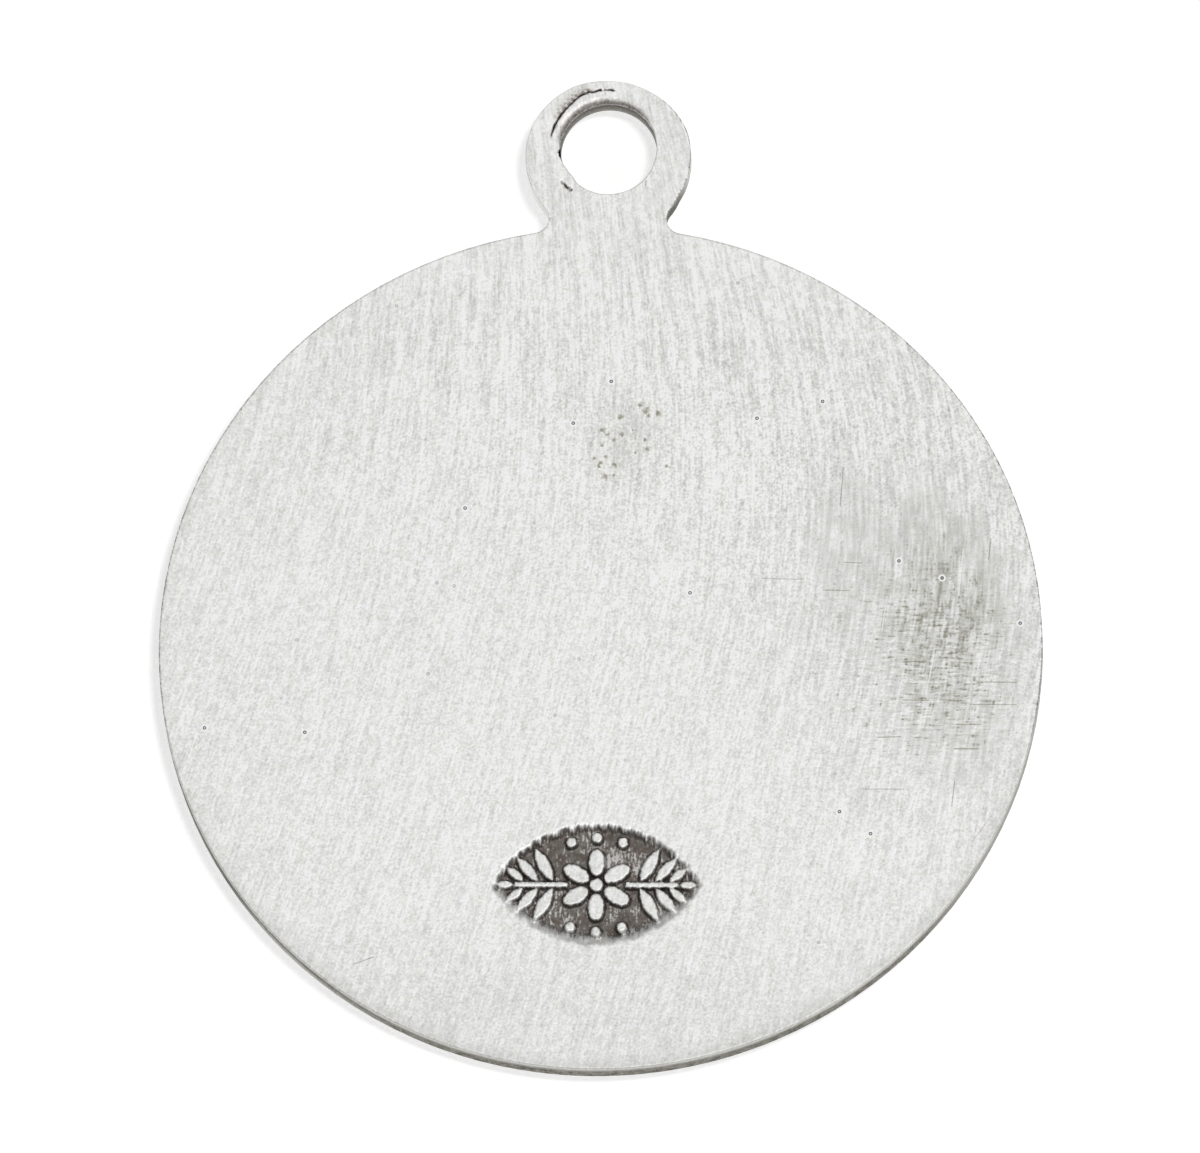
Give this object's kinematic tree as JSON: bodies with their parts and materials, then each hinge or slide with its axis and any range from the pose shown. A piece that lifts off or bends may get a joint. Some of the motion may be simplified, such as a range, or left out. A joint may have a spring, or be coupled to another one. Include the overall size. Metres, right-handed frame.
{
  "type": "religious medal pendant",
  "caption": "Round struck silver medal with an integral hanging loop, a flat brushed back with a small stamped ornament, and a raised rim and plain cross on the front.",
  "frame": {"origin": "middle of the disc, on the plane that the front's rim and cross rest on", "axes": "+Y from the middle of the disc to the hanging loop, +Z out of the flat back, which faces up as the medal lies"},
  "size_m": [0.022, 0.0258, 0.0013],
  "materials": {
    "silver": "brushed satin sterling silver, dark tarnish in the stamp and on the trimmed edge"
  },
  "bodies": {
    "root": {"medal": "silver"}
  },
  "joints": []
}
